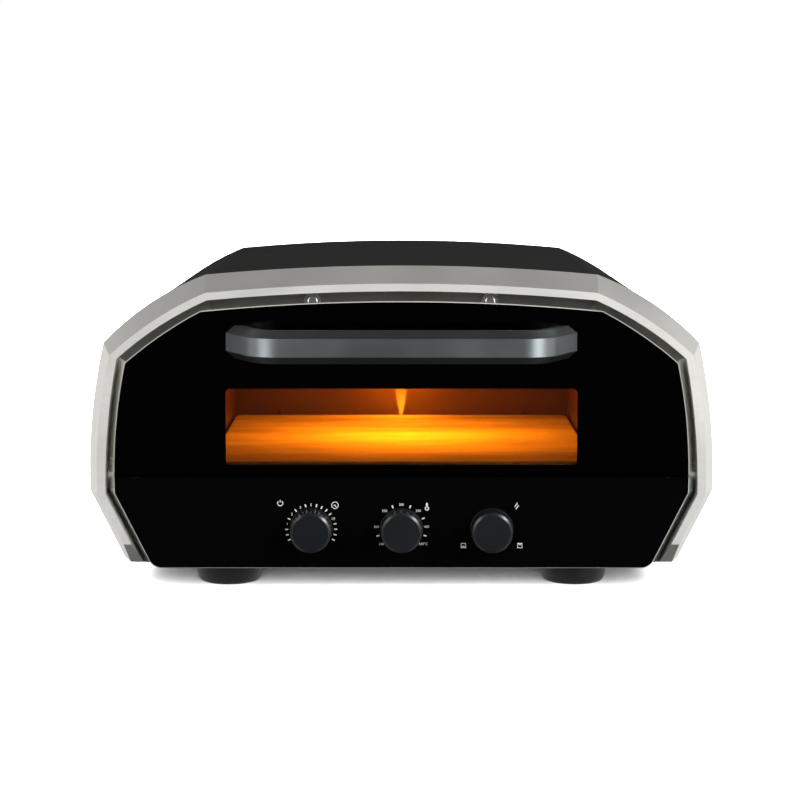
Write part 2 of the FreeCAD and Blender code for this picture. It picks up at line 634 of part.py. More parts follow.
def main():
    # frame and door surround
    save("front_frame", front_frame())
    upper, lower = door_surrounds()
    save("door_surround_upper", upper)
    save("door_surround_lower", [lower, mirrored(lower)])
    save("surround_screws", surround_screws())

    # door
    glass, black, frame, tunnel, middle, rear, pins, bolts = door_parts()
    save("door_outer_glass", glass)
    save("door_black_print", black)
    save("door_frame", frame)
    save("door_window_tunnel", tunnel)
    save("door_middle_glass", middle)
    save("door_inner_glass", rear)
    save("door_hinge_pins", pins)
    save("handle_bar", handle_bar())
    save("handle_screws", bolts)
    bracket = hinge_bracket()
    save("hinge_brackets", [bracket, mirrored(bracket)])
    gasket = cut(box(-175, 175, 38.35, FRAME_D, 119, 204), box(-169, 169, 38, 41, 110, 198))
    save("door_gasket", gasket)

    # control panel
    save("control_glass", control_glass())
    save("control_bracket", control_bracket())
    sizes = ((22.0, 21.0, 26.0), (18.0, 20.0, 24.0), (13.0, 15.0, 18.0))
    for name, x, (w, h, length) in zip(KNOB_NAMES, KNOB_X, sizes):
        save(name + "_module", control_module(x, w, h, length))
        save(name + "_knob", knob(x))
        save(name + "_shaft", knob_shaft(x, GLASS_D + GLASS_T + SHEET + length - 5))

    # housing
    save("front_bulkhead", bulkhead())
    shell, cover = top_shell(), rear_cover()
    screws = cover_screws()
    save("top_shell", cut(shell, *screws))
    save("rear_cover", cut(cover, *screws))
    save("base_pan", base_pan())
    save("housing_screws", screws + shell_screws() + [bumper_screw(x, z) for x, z in BUMPERS])
    spots = [(s * FOOT_X, d) for s in (-1, 1) for d in FOOT_DEPTHS]
    save("feet", [foot(x, d) for x, d in spots])
    save("foot_screws", [foot_screw(x, d) for x, d in spots])
    save("wall_bumpers", [bumper(x, z) for x, z in BUMPERS])

    # cavity
    f, b, t = FRAME_D + BULKHEAD_T, CAV_BACK, CAV_T
    w = CAV_X + t
    save("cavity_floor", box(-w, w, f, b + t, CAV_FLOOR - t, CAV_FLOOR))
    side = box(CAV_X, w, f, b, CAV_FLOOR, CAV_TOP)
    save("cavity_sides", [side, mirrored(side)])
    save("cavity_ceiling", box(-w, w, f, b + t, CAV_TOP, CAV_TOP + t))
    save("cavity_rear", cut(box(-w, w, b, b + t, CAV_FLOOR, CAV_TOP), *passage_holes(0, b - 5, b + 5)))
    studs = [turned_y(s * 121.0, 110.4, [(0, b - 4.5), (1.2, b - 4.5), (2.4, b - 3.4), (2.4, b), (0, b)]) for s in (-1, 1)]
    head = rod_x(371.0, 111.2, 2.0, CAV_X - 1.6, CAV_X)
    head = head.makeFillet(1.0, [e for e in head.Edges if e.BoundBox.XMax < CAV_X - 1.5])
    save("cavity_studs", studs + [head, mirrored(head)])
    sw, d0, d1, z0, z1 = STONE
    stone = box(-sw, sw, d0, d1, z0, z1)
    stone = stone.makeFillet(10.0, [e for e in stone.Edges if e.BoundBox.ZLength > 5])
    stone = stone.makeFillet(1.5, [e for e in stone.Edges if e.BoundBox.ZMin > z1 - 0.01])
    save("pizza_stone", stone)
    rail = stone_rail()
    save("stone_rails", [rail, mirrored(rail)])
    for z, place in ((188.0, "top"), (84.0, "bottom")):
        save(place + "_heating_element", heating_element(z))
    hangers = [cut(box(s * 125 - 5, s * 125 + 5, d, d + 1.2, 188.0, CAV_TOP), rod_y(s * 125, 188.0, TUBE_R, d - 1, d + 3))
               for s in (-1, 1) for d in (130.0, 300.0)]
    save("element_terminals", element_terminals(188.0) + element_terminals(84.0))
    stands = [cut(box(s * 125 - 5, s * 125 + 5, d, d + 1.2, CAV_FLOOR, 84.0), rod_y(s * 125, 84.0, TUBE_R, d - 1, d + 3))
              for s in (-1, 1) for d in (130.0, 300.0)]
    save("element_brackets", hangers + stands)
    save("temperature_probe", fuse([rod_y(PROBE_X, PROBE_Z, PROBE_R, 388, 440), rod_y(PROBE_X, PROBE_Z, 4.0, 429.0, 437)]))

    # insulation and inner casing
    f0, f1 = f, b + t
    save("insulation_wrap", cut(box(-192, 192, f0, f1, 45, 231), box(-w, w, f0 - 1, f1 + 1, 44, CAV_TOP + t)))
    save("insulation_bottom", box(-w, w, f0, f1, 45, CAV_FLOOR - t))
    save("insulation_rear", cut(box(-192, 192, f1, 428, 45, 231), *passage_holes(0, 400, 440)))
    c = 192 + CASING_T
    low, high = 45 - CASING_T, 231 + CASING_T
    save("inner_casing", cut(box(-c, c, f0, 428, low, high), box(-192, 192, f0 - 1, 430, 45, 231)))
    save("inner_casing_rear", cut(box(-c, c, 428, 428 + CASING_T, low, high), *passage_holes(0, 420, 440)))
    rails = [cut(box(s * 110 - 10, s * 110 + 10, f0, 428, FLOOR_Z + PAN_T, low),
                 box(s * 110 - 9, s * 110 + 9, f0 - 1, 430, FLOOR_Z + PAN_T + 1, low - 1)) for s in (-1, 1)]
    save("chassis_rails", rails)

    # cooling and power
    save("fan_housing", fan_housing())
    save("fan_motor", fan_motor())
    save("fan_impeller", fan_impeller())
    save("power_inlet", power_inlet())
    save("inlet_pins", inlet_pins())
    save("control_board", control_board())
    save("board_posts", board_posts())
    save("board_components", board_components())


main()
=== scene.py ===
"""Looks of the countertop pizza oven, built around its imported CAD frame.

World +Z is up and the oven's front faces -Y.  Lengths are in metres, apart from
those of the printed dial marks, which are in millimetres.
"""

import json
import math

import bmesh
import bpy
from mathutils import Matrix, Vector

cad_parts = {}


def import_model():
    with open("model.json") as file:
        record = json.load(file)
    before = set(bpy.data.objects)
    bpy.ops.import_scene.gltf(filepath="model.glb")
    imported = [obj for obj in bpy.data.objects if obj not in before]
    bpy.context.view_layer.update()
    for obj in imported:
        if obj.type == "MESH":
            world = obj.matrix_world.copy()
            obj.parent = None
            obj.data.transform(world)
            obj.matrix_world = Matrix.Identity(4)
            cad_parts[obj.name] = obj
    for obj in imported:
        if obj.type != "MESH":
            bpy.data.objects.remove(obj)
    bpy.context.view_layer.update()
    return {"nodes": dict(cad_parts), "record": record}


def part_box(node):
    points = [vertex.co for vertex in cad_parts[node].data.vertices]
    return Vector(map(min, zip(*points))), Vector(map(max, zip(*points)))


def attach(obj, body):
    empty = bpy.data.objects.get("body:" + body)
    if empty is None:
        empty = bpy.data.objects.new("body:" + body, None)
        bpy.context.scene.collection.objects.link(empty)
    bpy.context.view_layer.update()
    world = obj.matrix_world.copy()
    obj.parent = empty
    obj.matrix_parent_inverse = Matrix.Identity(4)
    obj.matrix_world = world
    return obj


MM = 0.001

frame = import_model()
NODES = frame["nodes"]


# --- materials --------------------------------------------------------------


class Shader:
    """A node material with one Principled shader, and short calls to add nodes."""

    def __init__(self, name, **sockets):
        self.material = bpy.data.materials.new(name)
        self.material.use_nodes = True
        self.tree = self.material.node_tree
        self.bsdf = self.tree.nodes["Principled BSDF"]
        for socket, value in sockets.items():
            self.set(socket.replace("_", " "), value)

    def set(self, socket, value):
        """Sets one of the Principled shader's sockets, or links a node to it."""
        self.put(self.bsdf.inputs[socket], value)

    def put(self, target, value):
        if isinstance(value, bpy.types.NodeSocket):
            self.tree.links.new(value, target)
        elif target.type == "RGBA":
            target.default_value = (*value[:3], 1.0)
        else:
            target.default_value = value

    def node(self, kind, inputs=(), out=0, **settings):
        """Adds a node, fills its inputs by name or number, and returns an output."""
        made = self.tree.nodes.new("ShaderNode" + kind)
        for key, value in settings.items():
            setattr(made, key, value)
        for key, value in dict(inputs).items():
            self.put(made.inputs[key], value)
        return made.outputs[out]

    def place(self, stretch=(1, 1, 1)):
        """Coordinates in metres on the piece, scaled along each axis."""
        coords = self.node("TexCoord", out="Object")
        return self.node("Mapping", {"Vector": coords, "Scale": stretch})

    def noise(self, size, stretch=(1, 1, 1), detail=2.0, roughness=0.5):
        """Noise from 0 to 1 whose features are about `size` metres across."""
        return self.node(
            "TexNoise",
            {
                "Vector": self.place(stretch),
                "Scale": 1 / size,
                "Detail": detail,
                "Roughness": roughness,
            },
        )

    def spread(self, value, low, high, at=(0.0, 1.0)):
        """Maps a value from the range `at` to the range low..high."""
        return self.node(
            "MapRange",
            {
                "Value": value,
                "From Min": at[0],
                "From Max": at[1],
                "To Min": low,
                "To Max": high,
            },
        )

    def blend(self, factor, first, second):
        """A colour between two colours."""
        return self.node(
            "Mix",
            {0: factor, 6: first, 7: second},
            out=2,
            data_type="RGBA",
        )

    def maths(self, operation, first, second=0.0):
        return self.node("Math", {0: first, 1: second}, operation=operation)

    def bump(self, height, depth, normal=None):
        inputs = {"Height": height, "Distance": depth, "Strength": 1.0}
        if normal is not None:
            inputs["Normal"] = normal
        return self.node("Bump", inputs)


def shade(colour, gain):
    """The colour made lighter or darker."""
    return tuple(min(1.0, c * gain) for c in colour)


def finish(
    name,
    colour,
    roughness,
    tone=0.06,
    gloss_change=0.06,
    grain=0.0012,
    stretch=(1, 1, 1),
    depth=0.00001,
    patch=0.07,
    **sockets,
):
    """A finish with fine grain, cloudy patches in tone and gloss, and relief."""
    made = Shader(name, **sockets)
    fine = made.noise(grain, stretch)
    cloud = made.noise(patch, detail=4.0)
    mixed = made.maths("MULTIPLY_ADD", fine, 0.5)
    made.put(mixed.node.inputs[2], made.maths("MULTIPLY", cloud, 0.5))
    factor = made.spread(mixed, 0.0, 1.0, at=(0.3, 0.7))
    made.set(
        "Base Color",
        made.blend(factor, shade(colour, 1 - tone), shade(colour, 1 + tone)),
    )
    low, high = roughness - gloss_change, roughness + gloss_change
    made.set("Roughness", made.spread(cloud, low, high, at=(0.3, 0.7)))
    made.set("Normal", made.bump(fine, depth))
    return made


def facing(made):
    """How squarely the surface faces the front or rear, from 0 to 1."""
    normal = made.node("TexCoord", out="Normal")
    return made.maths("ABSOLUTE", made.node("SeparateXYZ", {"Vector": normal}, out=1))


# Painted highlight: the pale colour given to the glasses' 45 degree bevels.
GROUND_EDGE_HIGHLIGHT = (0.42, 0.45, 0.42)
GROUND_ROUGHNESS = 0.4
BEVEL_MARGIN = 0.12
GLASS_TINT = (1.0, 0.9, 0.7)
SEAM_SHADE_BLACK = (0.0005, 0.0005, 0.0005)
# Heights above the door glass's lowest point, between which the painted shade, black at
# the seam with the panel, turns to clear.
SEAM_SHADE_HEIGHTS = (0.0012, 0.0014)
PANEL_PAINT = ((0.0008, 0.0008, 0.0008), (0.0016, 0.0016, 0.0016))


def bevel(made):
    """1 on a sheet's 45 degree bevel, 0 elsewhere."""
    test = made.maths("COMPARE", facing(made), math.cos(math.pi / 4))
    made.put(test.node.inputs[2], BEVEL_MARGIN)
    return test


def ground(made, colour, gloss):
    """Gives a glass its colour and faint smears, and a matt ground bevel painted pale
    as a highlight.
    """
    ground_lit_rim = bevel(made)
    smear = made.noise(0.05, detail=5.0)
    film = made.spread(smear, *gloss, at=(0.4, 0.8))
    matt = made.maths("MULTIPLY", ground_lit_rim, GROUND_ROUGHNESS)
    # painted highlight: the bevel gets the pale colour, on top of its matt ground
    # finish
    made.set("Base Color", made.blend(ground_lit_rim, colour, GROUND_EDGE_HIGHLIGHT))
    made.set("Roughness", made.maths("MAXIMUM", film, matt))
    return ground_lit_rim


def glass():
    """Clear warm glass, black along the door's lower edge as painted shade at the seam
    with the panel.
    """
    made = Shader("door_glass", IOR=1.5, Specular_IOR_Level=0.25)
    height = made.node("SeparateXYZ", {"Vector": made.place()}, out=2)
    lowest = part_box("door_outer_glass")[0].z
    clear = made.spread(height, 0.0, 1.0, at=[lowest + up for up in SEAM_SHADE_HEIGHTS])
    # painted shade: the door glass's lowest strip, at the seam with the panel, is made
    # black
    ground_lit_rim = ground(made, made.blend(clear, SEAM_SHADE_BLACK, GLASS_TINT), (0.0, 0.03))
    made.set("Transmission Weight", made.maths("SUBTRACT", 1.0, ground_lit_rim))
    return made


def panel():
    """The control panel: glass painted black on its back."""
    made = Shader("panel_glass", Specular_IOR_Level=0.2)
    smear = made.noise(0.05, detail=5.0)
    ground(made, made.blend(smear, *PANEL_PAINT), (0.04, 0.08))
    return made


def silver():
    """Satin anodised casting; its narrow front lip is brushed, and painted paler as a
    highlight.
    """
    made = finish(
        "satin_silver",
        (0.6, 0.595, 0.57),
        0.46,
        tone=0.05,
        grain=0.0005,
        depth=0.000006,
        Metallic=0.9,
    )
    base = made.bsdf.inputs["Base Color"].links[0].from_socket
    lip = made.spread(facing(made), 0.0, 1.0, at=(0.9, 0.99))
    brushed = made.noise(0.0012, stretch=(0.05, 1, 0.3), detail=4.0)
    pale = made.blend(brushed, (0.7, 0.69, 0.65), (0.82, 0.81, 0.77))
    # painted highlight: the front-facing lip is given a paler colour over its brushed
    # grain
    made.set("Base Color", made.blend(lip, base, pale))
    made.set("Metallic", made.spread(lip, 0.9, 0.6))
    return made


def knob():
    """Dark satin knob whose ribbed side is painted a little darker than its face, as
    shade.
    """
    made = finish(
        "knob_grey",
        (0.008, 0.0095, 0.0115),
        0.3,
        tone=0.1,
        grain=0.0004,
        depth=0.000006,
        Specular_IOR_Level=0.5,
    )
    base = made.bsdf.inputs["Base Color"].links[0].from_socket
    side = made.spread(facing(made), 1.0, 0.0, at=(0.3, 0.95))
    # painted shade: the side, facing away from the front, gets a darker colour
    made.set("Base Color", made.blend(side, base, (0.006, 0.0068, 0.0076)))
    return made


def handle():
    """Satin grey anodised bar whose chamfers, above and below, are painted darker as
    shade.
    """
    made = finish(
        "handle_grey",
        (0.2, 0.22, 0.228),
        0.45,
        tone=0.08,
        grain=0.0005,
        depth=0.00001,
        Metallic=1.0,
    )
    base = made.bsdf.inputs["Base Color"].links[0].from_socket
    normal = made.node("TexCoord", out="Normal")
    rise = made.maths("ABSOLUTE", made.node("SeparateXYZ", {"Vector": normal}, out=2))
    shaded_chamfer = made.spread(rise, 0.0, 1.0, at=(0.3, 0.6))
    # painted shade: the chamfers facing up and down get a darker colour
    made.set("Base Color", made.blend(shaded_chamfer, base, (0.08, 0.09, 0.095)))
    return made


# Each plain finish: its slot, name, colour and roughness, then what else it sets.
FINISHES = {
    "polished_plate": (
        "polished_steel",
        (0.7, 0.69, 0.65),
        0.24,
        dict(
            tone=0.03,
            gloss_change=0.05,
            grain=0.0004,
            stretch=(0.03, 1, 1),
            depth=0.000002,
            Metallic=1.0,
        ),
    ),
    "screw_steel": (
        "screw_steel",
        (0.85, 0.84, 0.81),
        0.28,
        dict(grain=0.0003, depth=0.000003, Metallic=1.0),
    ),
    "black_coat": (
        "black_powder_coat",
        (0.005, 0.005, 0.005),
        0.5,
        dict(
            tone=0.25,
            gloss_change=0.015,
            grain=0.0007,
            depth=0.00002,
            Specular_IOR_Level=0.05,
        ),
    ),
    "black_print": (
        "black_ceramic_print",
        (0.001, 0.001, 0.001),
        0.5,
        dict(tone=0.2, grain=0.0008, depth=0.000003, Specular_IOR_Level=0.1),
    ),
    "door_steel": (
        "door_steel",
        (0.05, 0.047, 0.043),
        0.34,
        dict(grain=0.0006, stretch=(0.03, 1, 1), Metallic=1.0),
    ),
    "shaft_steel": (
        "shaft_steel",
        (0.5, 0.49, 0.47),
        0.3,
        dict(grain=0.0003, Metallic=1.0),
    ),
    "zinc_steel": (
        "zinc_steel",
        (0.5, 0.51, 0.52),
        0.34,
        dict(tone=0.12, patch=0.02, Metallic=1.0),
    ),
    "module_black": (
        "module_black",
        (0.02, 0.02, 0.022),
        0.45,
        dict(tone=0.15, depth=0.00001),
    ),
    "foot_rubber": (
        "foot_rubber",
        (0.028, 0.034, 0.036),
        0.62,
        dict(tone=0.15, grain=0.0008, depth=0.00003, Specular_IOR_Level=0.35),
    ),
    "cavity_steel": (
        "cavity_steel",
        (0.085, 0.042, 0.014),
        0.42,
        dict(
            tone=0.12,
            grain=0.0008,
            stretch=(0.02, 0.02, 1),
            depth=0.00001,
            Specular_IOR_Level=0.5,
        ),
    ),
    "white_ceramic": (
        "white_ceramic",
        (0.75, 0.72, 0.66),
        0.35,
        dict(tone=0.06, depth=0.00001),
    ),
    "insulation_wool": (
        "insulation_wool",
        (0.7, 0.68, 0.6),
        0.9,
        dict(tone=0.12, grain=0.002, stretch=(1, 0.2, 1), depth=0.0006),
    ),
    "gasket_rope": (
        "gasket_rope",
        (0.2, 0.19, 0.17),
        0.85,
        dict(tone=0.25, grain=0.0016, depth=0.0003),
    ),
    "board_green": (
        "board_green",
        (0.01, 0.09, 0.03),
        0.35,
        dict(tone=0.3, grain=0.0015),
    ),
    "component_grey": (
        "component_grey",
        (0.08, 0.08, 0.085),
        0.5,
        dict(tone=0.2, grain=0.001),
    ),
    "pin_brass": (
        "pin_brass",
        (0.75, 0.6, 0.3),
        0.25,
        dict(grain=0.0004, Metallic=1.0),
    ),
}


def slot_materials():
    """One material for each finish slot of the record."""
    made = {
        "frame_silver": silver(),
        "tinted_glass": glass(),
        "panel_glass": panel(),
        "handle_grey": handle(),
        "knob_grey": knob(),
        "stone_cream": stone(),
        "element_metal": element(),
    }
    for slot, (name, colour, roughness, others) in FINISHES.items():
        made[slot] = finish(name, colour, roughness, **others)
    return {slot: shader.material for slot, shader in made.items()}


def stone():
    """Cordierite baking stone: cream, sandy, with faint darker bake marks."""
    made = Shader("baking_stone", Specular_IOR_Level=0.3)
    sand = made.noise(0.0009, detail=3.0)
    marks = made.noise(0.04, stretch=(0.22, 1, 1), detail=6.0, roughness=0.6)
    tone = made.blend(
        made.spread(marks, 0.0, 1.0, at=(0.35, 0.65)),
        (0.42, 0.35, 0.25),
        (0.72, 0.63, 0.47),
    )
    grit = made.spread(sand, 0.8, 1.0, at=(0.3, 0.55))
    made.set(
        "Base Color",
        made.node(
            "Mix",
            {0: 1.0, 6: tone, 7: grit},
            out=2,
            data_type="RGBA",
            blend_type="MULTIPLY",
        ),
    )
    made.set("Roughness", made.spread(marks, 0.5, 0.7))
    made.set("Normal", made.bump(sand, 0.00008))
    return made


def element():
    """Heating element sheath, glowing a dull orange."""
    made = Shader("heating_element", Metallic=0.3, Roughness=0.6)
    patch = made.noise(0.02, detail=3.0)
    made.set("Base Color", made.blend(patch, (0.12, 0.09, 0.07), (0.22, 0.16, 0.12)))
    made.set("Emission Color", made.blend(patch, (1.0, 0.16, 0.015), (1.0, 0.28, 0.04)))
    made.set("Emission Strength", made.spread(patch, 1.5, 3.0, at=(0.3, 0.7)))
    made.set("Normal", made.bump(patch, 0.0001))
    return made


def enamel():
    """Matt near-black, painted shade on the steel that shows between the two glasses.
    """
    made = finish(
        "gap_shade_black",
        (0.0015, 0.0015, 0.0015),
        0.75,
        tone=0.3,
        depth=0.00001,
        Specular_IOR_Level=0.03,
    )
    return made.material


# Parts seen through the seam between the glasses, painted near-black as shade.
BEHIND_GLASS = ("control_bracket", "front_bulkhead", "door_frame")


def dress():
    """Gives every CAD node its slot, and the slot's material or the painted gap shade.
    """
    materials = slot_materials()
    black = enamel()
    for part in frame["record"]["subparts"]:
        name, slot = part["node"], part["material_slot"]
        node = NODES[name]
        node.data.materials.clear()
        # painted shade: the steel behind the seam between the glasses is made
        # near-black
        node.data.materials.append(black if name in BEHIND_GLASS else materials[slot])
    return materials


# --- printed dial marks -----------------------------------------------------

# Sizes in mm and turns in degrees about each knob's centre, seen from the front.
TICK = (2.5, 1.05)
TICK_RADIUS = 20.4
INK = 0.05
WELD = 0.002
CAPITAL = 0.7
TIMER_NUMBERS = {3: "1", 5: "2", 7: "3", 9: "5", 14: "10"}
TIMER_STEPS = 19
TIMER_START, TIMER_STEP = 206.0, 12.87
TIMER_TEXT = 2.3
TEMPERATURES = range(150, 451, 50)
TEMPERATURE_START, TEMPERATURE_STEP = 216.7, 42.2
TEMPERATURE_TEXT = 2.0
TEMPERATURE_TICKS = (195.6, 111.2, 69.0, 26.8, -15.4)
NUMBER_RADIUS, NUMBER_SHIFT = 20.7, 0.3
UNIT_SHIFT = 1.3
POWER_ICON = (-25.7, 22.0)
CLOCK_ICON = (19.9, 20.3)
GAUGE_ICON = (21.2, 17.6)
BOLT_ICON = (20.7, 19.6)
PLATE_ICONS = ((-23.6, -1), (23.5, 1))
PLATE_HEIGHT = -13.7


def polar(radius, degrees):
    """The point at a distance and a turn from the centre."""
    turn = math.radians(degrees)
    return radius * math.cos(turn), radius * math.sin(turn)


def ring(x, y, radius, sides=32):
    """A circle as one closed line."""
    turns = (360 * i / sides for i in range(sides))
    return [(x + a, y + b) for a, b in (polar(radius, t) for t in turns)]


def block(x, y, width, height, degrees=0.0):
    """A rectangle about (x, y) as one closed line."""
    a, b = width / 2, height / 2
    turn = math.radians(degrees)
    cos, sin = math.cos(turn), math.sin(turn)
    corners = ((-a, -b), (a, -b), (a, b), (-a, b))
    return [(x + p * cos - q * sin, y + p * sin + q * cos) for p, q in corners]


def sector(x, y, outer, inner, start, end, steps=24):
    """A thick arc as one closed line."""
    turns = [start + (end - start) * i / steps for i in range(steps + 1)]
    line = [polar(outer, t) for t in turns] + [polar(inner, t) for t in reversed(turns)]
    return [(x + a, y + b) for a, b in line]


def half_ring(radius, steps=12):
    """The upper half of a circle, from right to left."""
    return [polar(radius, 180 * i / steps) for i in range(steps + 1)]


def turned_twice(points):
    """Points, then the same points turned half round."""
    return points + [(-x, -y) for x, y in points]


def ink(lines):
    """Filled closed lines as one raised curve."""
    curve = bpy.data.curves.new("ink", "CURVE")
    curve.dimensions = "2D"
    curve.fill_mode = "BOTH"
    curve.extrude = INK
    for line in lines:
        spline = curve.splines.new("POLY")
        spline.points.add(len(line) - 1)
        for point, (x, y) in zip(spline.points, line):
            point.co = (x, y, 0, 1)
        spline.use_cyclic_u = True
    return curve


def lettering(text, height):
    """Raised text whose capitals are `height` mm tall."""
    curve = bpy.data.curves.new("ink", "FONT")
    curve.body = text
    curve.size = height / CAPITAL
    curve.align_x = "CENTER"
    curve.align_y = "CENTER"
    curve.extrude = INK
    curve.resolution_u = 3
    return curve


def printed(name, knob, marks):
    """Joins marks, each a curve and its place in mm about the knob, into a piece."""
    joined = bmesh.new()
    for curve, place in marks:
        drawn = bpy.data.objects.new("ink", curve)
        mesh = bpy.data.meshes.new_from_object(drawn)
        mesh.transform(Matrix.Translation((*place, 0)))
        joined.from_mesh(mesh)
        bpy.data.objects.remove(drawn)
        bpy.data.meshes.remove(mesh)
    bmesh.ops.remove_doubles(joined, verts=joined.verts, dist=WELD)
    low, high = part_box(knob)
    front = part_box("control_glass")[0].y
    place = Matrix.Translation(((low.x + high.x) / 2, front, (low.z + high.z) / 2))
    upright = Matrix.Rotation(math.pi / 2, 4, "X") @ Matrix.Scale(MM, 4)
    joined.transform(place @ upright)
    bmesh.ops.recalc_face_normals(joined, faces=joined.faces)
    mesh = bpy.data.meshes.new(name)
    joined.to_mesh(mesh)
    joined.free()
    made = bpy.data.objects.new(name, mesh)
    bpy.context.scene.collection.objects.link(made)
    return made


def tick(degrees):
    """A short bar that points away from the knob."""
    return block(*polar(TICK_RADIUS, degrees), *TICK, degrees)


def timer_marks():
    """Ticks and numbers of the minutes, a power sign and a clock."""
    ticks, marks = [], []
    for i in range(TIMER_STEPS):
        turn = TIMER_START - TIMER_STEP * i
        if i in TIMER_NUMBERS:
            number = lettering(TIMER_NUMBERS[i], TIMER_TEXT)
            marks.append((number, polar(TICK_RADIUS, turn)))
        else:
            ticks.append(tick(turn))
    power = [sector(0, 0, 2.5, 1.85, 130, 410), block(0, 1.7, 0.6, 2.2)]
    clock = [ring(0, 0, 3.05), ring(0, 0, 2.45)]
    hands = [block(0.4, -0.6, 0.65, 2.2, 45), block(-0.4, 0.2, 0.65, 1.4, -45)]
    marks += [(ink(ticks), (0, 0)), (ink(power), POWER_ICON)]
    marks += [(ink(clock), CLOCK_ICON), (ink(hands), CLOCK_ICON)]
    return marks


def temperature_marks():
    """Numbers from 150 to 450 degrees with ticks between, and a thermometer."""
    marks = []
    for i, degrees in enumerate(TEMPERATURES):
        turn = TEMPERATURE_START - TEMPERATURE_STEP * i
        reach = NUMBER_RADIUS + NUMBER_SHIFT * abs(math.cos(math.radians(turn)))
        x, y = polar(reach, turn)
        text = str(degrees)
        if degrees == TEMPERATURES[-1]:
            text += "\u00b0C"
            x += UNIT_SHIFT
        marks.append((lettering(text, TEMPERATURE_TEXT), (x, y)))
    ticks = [tick(turn) for turn in TEMPERATURE_TICKS]
    stem = [(-0.75, 1.2), (0.75, 1.2)] + [(a, b + 4.0) for a, b in half_ring(0.75)]
    bulb = [ring(0, 0, 1.8), ring(0, 0, 1.0)]
    marks += [(ink(ticks), (0, 0)), (ink([stem]), GAUGE_ICON), (ink(bulb), GAUGE_ICON)]
    return marks


def balance_marks():
    """A bolt, and a square sign for heat from below and one for heat from above."""
    bolt = turned_twice([(0.8, 3.4), (-2.0, -0.6), (-0.3, -0.6)])
    hole = turned_twice([(-0.1, 1.15), (-1.05, -0.2)])
    marks = [(ink([bolt, hole]), BOLT_ICON)]
    for x, side in PLATE_ICONS:
        outline = [block(0, 0, 4.3, 4.3), block(0, -side * 0.3, 3.1, 2.5)]
        bar = [block(0, side * 0.65, 1.5, 0.7)]
        marks += [(ink(lines), (x, PLATE_HEIGHT)) for lines in (outline, bar)]
    return marks


def dial_print(materials):
    """White ceramic ink on the panel round each knob."""
    dials = (
        ("timer_print", "timer_knob", timer_marks()),
        ("temperature_print", "temperature_knob", temperature_marks()),
        ("balance_print", "balance_knob", balance_marks()),
    )
    for name, knob, marks in dials:
        made = printed(name, knob, marks)
        made.data.materials.append(materials["white_ceramic"])
        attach(made, "chassis")


# --- stage ------------------------------------------------------------------

# Turns and widths of beams are in degrees.
WORLD_FLANK = 1.25
WORLD_FILL = 0.02
WORLD_FLOOR = 0.08
FLOOR_SUNS = (("front", 24.0, 62, 46), ("rear", 9.0, -40, 60))
BOX_POWERS = (("left_box", -1, 21.0), ("right_box", 1, 26.0))
BOX_AZIMUTH = 42
BOX_REACH = 1.65
BOX_HEIGHT = 0.6
BOX_SIZE = (0.8, 1.4)
BOX_AIM = (0, -0.2, 0.15)
KEY_PLACE = (1.1, -0.75, 0.95)
KEY_AIM = (0, -0.25, 0.1)
KEY_SIZE = (0.35, 0.35)
KEY_POWER = 12.0
GLOW_COLOUR = (1.0, 0.33, 0.01)
CEILING_GLOWS = (("deck_glow", (0.1, 0.012), 0.62), ("wide_glow", (0.26, 0.16), 0.4))
WALL_GLOW = 0.4
STREAK_COLOUR = (1.0, 0.58, 0.06)
STREAK_GLOW = 10.0
STREAK_WIDTH = 28
FLOOR_REACH = 60.0
CAMERA_PLACE = (-0.0012, -2.1188, 0.3789)
CAMERA_TILT = 6.534
CAMERA_LENS = 102.15


def world():
    """White to the camera; to everything else a dark studio with bright flanks."""
    made = bpy.data.worlds.new("studio")
    bpy.context.scene.world = made
    made.use_nodes = True
    tree = made.node_tree
    tree.nodes.clear()

    def node(kind, inputs=(), out=0, **settings):
        new = tree.nodes.new("ShaderNode" + kind)
        for key, value in settings.items():
            setattr(new, key, value)
        for key, value in dict(inputs).items():
            if isinstance(value, bpy.types.NodeSocket):
                tree.links.new(value, new.inputs[key])
            else:
                new.inputs[key].default_value = value
        return new.outputs[out]

    def step(value, start, end, low=0.0, high=1.0):
        return node(
            "MapRange",
            {
                "Value": value,
                "From Min": start,
                "From Max": end,
                "To Min": low,
                "To Max": high,
            },
            interpolation_type="SMOOTHSTEP",
        )

    def maths(operation, first, second=0.0):
        return node("Math", {0: first, 1: second}, operation=operation)

    x, y, z = node("SeparateXYZ", {0: node("TexCoord")}).node.outputs
    flank = step(maths("ABSOLUTE", x), 0.15, 0.6)
    behind = step(y, -0.3, 0.3)
    low = step(z, 0.05, 0.55, 1.0, 0.15)
    sides = maths("MULTIPLY", maths("MULTIPLY", flank, behind), low)
    back = maths("MULTIPLY", behind, step(z, 0.1, 0.5, 0.04, 0.3))
    total = maths("ADD", maths("MULTIPLY", sides, WORLD_FLANK), back)
    under = maths("MULTIPLY", step(z, -0.02, -0.25), step(y, -0.7, -0.2))
    total = maths("ADD", total, maths("MULTIPLY", under, WORLD_FLOOR))
    total = maths("ADD", total, WORLD_FILL)
    lit = node("Background", {"Color": (1.0, 0.99, 0.965, 1), "Strength": total})
    seen = node("Background", {"Color": (1, 1, 1, 1), "Strength": 1.0})
    ray = node("LightPath", out="Is Camera Ray")
    mix = node("MixShader", {0: ray, 1: lit, 2: seen})
    tree.links.new(mix, tree.nodes.new("ShaderNodeOutputWorld").inputs[0])


